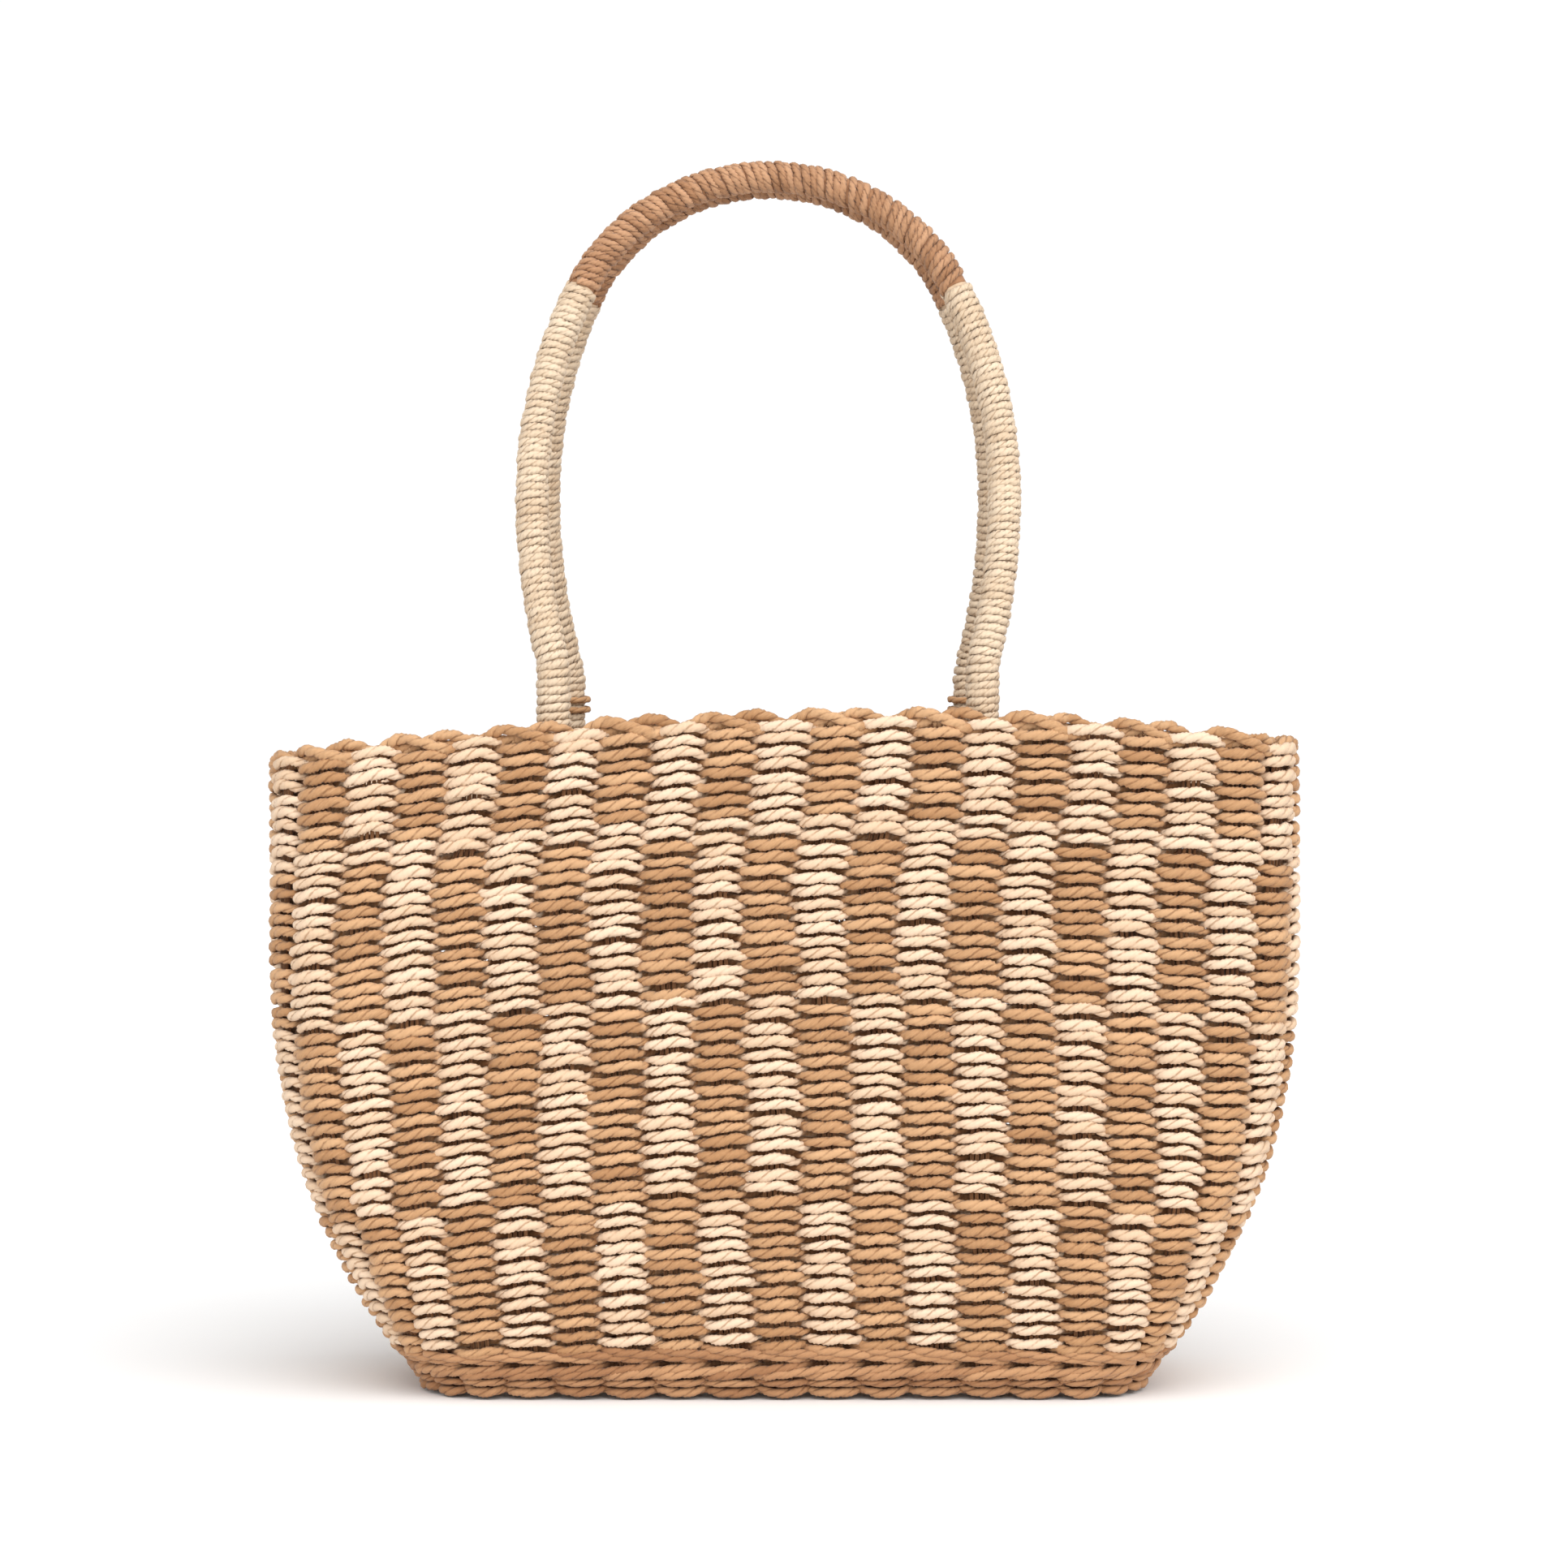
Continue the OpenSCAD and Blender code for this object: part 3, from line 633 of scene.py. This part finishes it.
floor_mat = Cords()
foot_a, foot_b = float(half_width(FOOT_H)), float(half_depth(FOOT_H))
FIRST_ROUND, ROUND_STEP, ROUND_COUNT = 11.6, 4.69, 11
FLOOR_HALF_UP, FLOOR_HALF_OUT = 1.7, 2.4
FLOOR_OVER, FLAT_SHARE = 3.0, 0.15  # a round rises over the stakes, but hardly where none lies
for k in range(ROUND_COUNT):
    inset = FIRST_ROUND + ROUND_STEP * k
    u, column, t = round_columns()
    outline = wall(u, FOOT_H, WALL_T / 2)
    spine = np.stack([np.clip(outline[:, 0], foot_b - foot_a, foot_a - foot_b), 0 * u], -1)
    plan = spine + (outline[:, :2] - spine) * (1 - inset / foot_b)
    at_end = np.abs(outline[:, 0]) > foot_a - foot_b
    height = FLOOR_OVER * np.where(at_end & (inset > END_TUCK), FLAT_SHARE, 1.0)
    z = FLOOR_MID + smooth_round(height, 13) * np.cos(math.pi * (u + k))
    floor_mat.add(np.column_stack([plan, z]), (0, 0, 1), FLOOR_HALF_UP, FLOOR_HALF_OUT, turn=TWIST,
                  closed=True, tint=RNG.uniform(0, 1, STAKES)[column])
piece = floor_mat.make("floor_mat", TAN)
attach(piece, "root")
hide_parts("floor_under_layer", "floor_upper_layer")

# ---- Handles -------------------------------------------------------------------------------------

LEG_X, LEG_R, SHIFT = 88.5, 7.0, -6.6
HINGE_Y, HINGE_Z = 56.7, 303.7
RIM_TOP = BODY_H + 6.7
HANDLE_H, BOW_H, BOW = 214.5, 76, 10
SHOULDER = math.radians(25)
BOW_R = (BOW_H ** 2 + BOW ** 2) / (2 * BOW)
HALF_W = LEG_X + BOW
GRIPS_APART = 1  # half of the gap between the two grips
LEAN = math.asin((HINGE_Y - LEG_R - GRIPS_APART) / HANDLE_H)
ARCH_H = HANDLE_H - BOW_H
HALF_GRIP = math.pi / 2 - SHOULDER
# The grip's arc and the shoulder's arc meet in one tangent and together span HALF_W and ARCH_H
SIDEWAYS = (1 - math.sin(HALF_GRIP)) / math.cos(HALF_GRIP)
GRIP_R = (HALF_W - ARCH_H * SIDEWAYS) / (math.sin(HALF_GRIP) - SIDEWAYS * (1 - math.cos(HALF_GRIP)))
SHOULDER_R = (ARCH_H - GRIP_R * (1 - math.cos(HALF_GRIP))) / math.cos(HALF_GRIP)
TAIL_GAP, TAIL_LEN, TAIL_POINTS = 0.3, 68, 60
TAIL_BOTTOM = HINGE_Z - LEG_R - TAIL_GAP - TAIL_LEN
BEND_SOFTNESS = 15
FINE = 1.0  # between points of a middle line


def arc(center_x, center_z, r, a0, a1):
    a = np.linspace(a0, a1, max(3, int(abs(a1 - a0) * r / FINE)))
    return np.stack([center_x + r * np.cos(a), center_z + r * np.sin(a)], -1)


def even(path, step=FINE):
    run = np.concatenate([[0], np.cumsum(np.linalg.norm(np.diff(path, axis=0), axis=1))])
    s = np.linspace(0, run[-1], int(run[-1] / step) + 1)
    return np.stack([np.interp(s, run, path[:, k]) for k in range(3)], -1)


def soften(path, width):
    kernel = np.hanning(width + 2)[1:-1]
    kernel /= kernel.sum()
    padded = np.concatenate([2 * path[0] - path[width:0:-1], path, 2 * path[-1] - path[-2:-width - 2:-1]])
    return np.stack([np.convolve(padded[:, k], kernel, "same")[width:-width] for k in range(3)], -1)


def place(plane, face):
    """From the handle's own plane to the basket, leaning in over the opening."""
    x, z = plane[:, 0], plane[:, 1]
    y = -HINGE_Y + z * math.sin(LEAN)
    return np.stack([x + SHIFT, y * -face, HINGE_Z + z * math.cos(LEAN)], -1)


def leg_line(side, face):
    bow_start = -math.asin(BOW_H / BOW_R)
    plane = np.concatenate([arc(HALF_W - BOW_R, BOW_H, BOW_R, bow_start, 0),
                            arc(HALF_W - SHOULDER_R, BOW_H, SHOULDER_R, 0, SHOULDER)[1:]])
    upper = place(plane * [side, 1], face)
    tail = np.stack([np.full(TAIL_POINTS, side * LEG_X + SHIFT), np.full(TAIL_POINTS, HINGE_Y * face),
                     np.linspace(TAIL_BOTTOM, HINGE_Z - 1, TAIL_POINTS)], -1)
    return soften(even(np.concatenate([tail, upper])), BEND_SOFTNESS)


def grip_line(face):
    return even(place(arc(0, HANDLE_H - GRIP_R, GRIP_R, SHOULDER, math.pi - SHOULDER), face))


def line_frames(path):
    tangent = unit(np.gradient(path, axis=0))
    first = unit(np.cross(tangent, [0, 1, 0]))
    return tangent, first, np.cross(tangent, first)


# The core's tint lies below the darkest cord colour: painted shade where it shows between the turns
CORE_INSET, CORE_SHADE_TINT = 1.5, -0.6
PITCH_SPREAD, BULGE_SPREAD = 0.12, 0.16
BULGE_WAVE, BULGE_BEAT, WIDTH_WAVE, WIDTH_BEAT = 0.22, 3.37, 0.08, 2.61  # size, and waves per turn
PER_TURN = 22
WIND_TWIST, WIND_WIDTH = 10.0, 0.56  # turn of the wound cord's plies; half width as a share of the pitch


def winding(cords, path, pitch, radius, starts, tint_low, tint_high, thick):
    """Cord wound round a middle line, side by side, over a plain core whose colour is darkened as painted
    shade between the turns.
    """
    tangent, first, second = line_frames(path)
    length = FINE * (len(path) - 1)
    s_path = np.linspace(0, length, len(path))
    cords.add(path, first, radius - CORE_INSET, radius - CORE_INSET, section=ROUND_CORE, tint=CORE_SHADE_TINT)
    lead = pitch * starts
    for start in range(starts):
        turns = int(length / lead)
        pitches = lead * (1 + PITCH_SPREAD * RNG.uniform(-1, 1, turns) / starts)
        marks = np.concatenate([[0], np.cumsum(pitches)])
        marks *= (length - 1) / marks[-1]
        shift = start / starts
        tau = np.arange(turns * PER_TURN + 1) / PER_TURN
        s = np.interp(tau + shift, np.arange(turns + 1), marks, right=marks[-1]) + 0.5
        keep = tau + shift <= turns
        tau, s = tau[keep], s[keep]
        center = np.stack([np.interp(s, s_path, path[:, k]) for k in range(3)], -1)
        axes = [np.stack([np.interp(s, s_path, a[:, k]) for k in range(3)], -1)
                for a in (tangent, first, second)]
        angle = 2 * math.pi * tau
        bulge = np.interp(tau, np.arange(turns + 1), RNG.normal(0, BULGE_SPREAD, turns + 1))
        bulge += BULGE_WAVE * np.sin(tau * 2 * math.pi * BULGE_BEAT + start * 2)
        r = radius - thick + np.clip(bulge, -0.5, 0.35)
        helix = center + r[:, None] * (np.cos(angle)[:, None] * axes[1] + np.sin(angle)[:, None] * axes[2])
        tints = np.interp(tau, np.arange(turns + 1), RNG.uniform(tint_low, tint_high, turns + 1))
        wide = pitch * WIND_WIDTH * (1 + WIDTH_WAVE * np.sin(tau * 2 * math.pi * WIDTH_BEAT + start))
        cords.add(helix, axes[0], wide, thick, turn=WIND_TWIST, tint=tints, start=RNG.uniform(0, 6),
                  section=WOUND_PLY)


TIE_R = 1.3
TIE_BEND = LEG_R + TIE_R + 0.1
TIES, TIE_TWIST, TIE_SLOPE = 5, 11.0, 0.5
LEG_COLUMN = LEG_X / 20.2  # where the right legs stand, in columns of about 20.2 mm from the middle
INTO_WALL = 1.5  # how deep the ends of a tie go into the wall
RIM_TURNS, RIM_TURN_SLOPE = (1.6, 6.0), 0.6  # heights over the rim of the turns round a back leg


def leg_ties(face, side, over_rim):
    cords = Cords()
    x, y = side * LEG_X + SHIFT, HINGE_Y * face
    wall_y = (BODY_D / 2 - WALL_T + INTO_WALL) * face
    top = float(wall(np.array(LEG_COLUMN), np.array(float(BODY_H)))[2]) - 3
    for z in np.linspace(TAIL_BOTTOM + 5, top - 2, TIES):
        a = np.linspace(0, math.pi, 25)
        bend = np.stack([x + TIE_BEND * np.cos(a), y - face * TIE_BEND * np.sin(a),
                         z + TIE_SLOPE * np.cos(a)], -1)
        ends = [np.array([[x + sx * TIE_BEND, yy, z + sx * TIE_SLOPE] for yy in np.linspace(wall_y, y, 5)])
                for sx in (1, -1)]
        cords.add(np.concatenate([ends[0][:-1], bend, ends[1][::-1][1:]]), (0, 0, 1), TIE_R, TIE_R,
                  turn=TIE_TWIST, tint=RNG.uniform(0, 1))
    if over_rim:
        for rise in RIM_TURNS:
            a = np.linspace(0, 2 * math.pi, 49)[:-1]
            loop = np.stack([x + TIE_BEND * np.cos(a), y + TIE_BEND * np.sin(a),
                             RIM_TOP + rise + RIM_TURN_SLOPE * np.sin(a)], -1)
            cords.add(loop, (0, 0, 1), TIE_R * 1.1, TIE_R, turn=TIE_TWIST, closed=True,
                      tint=RNG.uniform(0, 1))
    return cords


for face_name, face in (("front", -1), ("back", 1)):
    body = f"{face_name}_handle"
    cords = Cords()
    winding(cords, grip_line(face), pitch=3.3, radius=6.9, starts=3, tint_low=0.0, tint_high=1.0, thick=1.15)
    grip = cords.make(f"{face_name}_grip_winding", GRIP)
    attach(grip, body)
    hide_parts(f"{face_name}_grip_wrap", f"{face_name}_handle_core")
    for side_name, side in (("left", -1), ("right", 1)):
        corner = f"{face_name}_{side_name}"
        cords = Cords()
        winding(cords, leg_line(side, face), pitch=3.3, radius=7.1, starts=1, tint_low=0.1, tint_high=0.9,
                thick=0.85)
        leg = cords.make(f"{corner}_leg_winding", LEG)
        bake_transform(leg)
        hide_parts(f"{corner}_leg_wrap", f"{corner}_tail_wrap", f"{corner}_tail_core")
        ties = leg_ties(face, side, over_rim=face > 0).make(f"{corner}_tie_cords", TAN)
        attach(ties, "root")
        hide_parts(f"{corner}_ties")

# ---- Floor of the studio, light and camera -------------------------------------------------------


FLOOR_REACH, FLOOR_DROP = 30.0, 0.0004


def studio_floor():
    mesh = bpy.data.meshes.new("studio_floor")
    corners = [(-FLOOR_REACH, -FLOOR_REACH, 0), (FLOOR_REACH, -FLOOR_REACH, 0),
               (FLOOR_REACH, FLOOR_REACH, 0), (-FLOOR_REACH, FLOOR_REACH, 0)]
    mesh.from_pydata(corners, [], [(0, 1, 2, 3)])
    floor = bpy.data.objects.new("studio_floor", mesh)
    bpy.context.scene.collection.objects.link(floor)
    material = bpy.data.materials.new("studio_floor")
    material.use_nodes = True
    shader = material.node_tree.nodes["Principled BSDF"]
    shader.inputs["Base Color"].default_value = (0.93, 0.93, 0.93, 1)
    shader.inputs["Roughness"].default_value = 0.95
    shader.inputs["Specular IOR Level"].default_value = 0.0
    mesh.materials.append(material)
    floor.location.z = -FLOOR_DROP


def sun(name, azimuth, elevation, strength, angle):
    """Light from that side: azimuth 0 is the camera's side, and positive is to its right."""
    data = bpy.data.lights.new(name, "SUN")
    data.energy, data.angle = strength, math.radians(angle)
    lamp = bpy.data.objects.new(name, data)
    a, e = math.radians(azimuth), math.radians(elevation)
    toward = Vector((math.sin(a) * math.cos(e), -math.cos(a) * math.cos(e), math.sin(e)))
    lamp.rotation_euler = toward.to_track_quat("Z", "Y").to_euler()
    lamp.location = toward * 3
    bpy.context.scene.collection.objects.link(lamp)


studio_floor()
sun("key_light", 24, 56, 2.0, 75)
sun("front_light", 4, 25, 1.35, 90)
world = bpy.data.worlds.new("studio")
world.use_nodes = True
WALLS, CEILING = 1.03, 0.42  # brightness of the studio's white walls and of what is above them


def studio_walls(world):
    """White all round at eye level, dimmer overhead."""
    nodes, links = world.node_tree.nodes, world.node_tree.links
    direction = nodes.new("ShaderNodeTexCoord").outputs["Generated"]
    split = nodes.new("ShaderNodeSeparateXYZ")
    links.new(direction, split.inputs[0])
    fade = nodes.new("ShaderNodeMapRange")
    fade.interpolation_type = "SMOOTHSTEP"
    fade.inputs["From Min"].default_value, fade.inputs["From Max"].default_value = 0.3, 0.6
    fade.inputs["To Min"].default_value, fade.inputs["To Max"].default_value = WALLS, CEILING
    links.new(split.outputs[2], fade.inputs["Value"])
    links.new(fade.outputs["Result"], nodes["Background"].inputs["Strength"])
    nodes["Background"].inputs["Color"].default_value = (1, 1, 1, 1)


studio_walls(world)
bpy.context.scene.world = world
bpy.context.scene.view_settings.view_transform = "Standard"

CAMERA_DISTANCE, CAMERA_HEIGHT = 1.6, 0.2542
FRONT = BODY_D / 2000
SEEN_WIDTH = 0.639  # across the picture, at the front of the basket
camera_data = bpy.data.cameras.new("camera")
camera_data.sensor_width = 36
camera_data.lens = camera_data.sensor_width * (CAMERA_DISTANCE - FRONT) / SEEN_WIDTH
camera = bpy.data.objects.new("camera", camera_data)
camera.location = (0, -CAMERA_DISTANCE, CAMERA_HEIGHT)
camera.rotation_euler = (math.pi / 2, 0, 0)
bpy.context.scene.collection.objects.link(camera)
bpy.context.scene.camera = camera
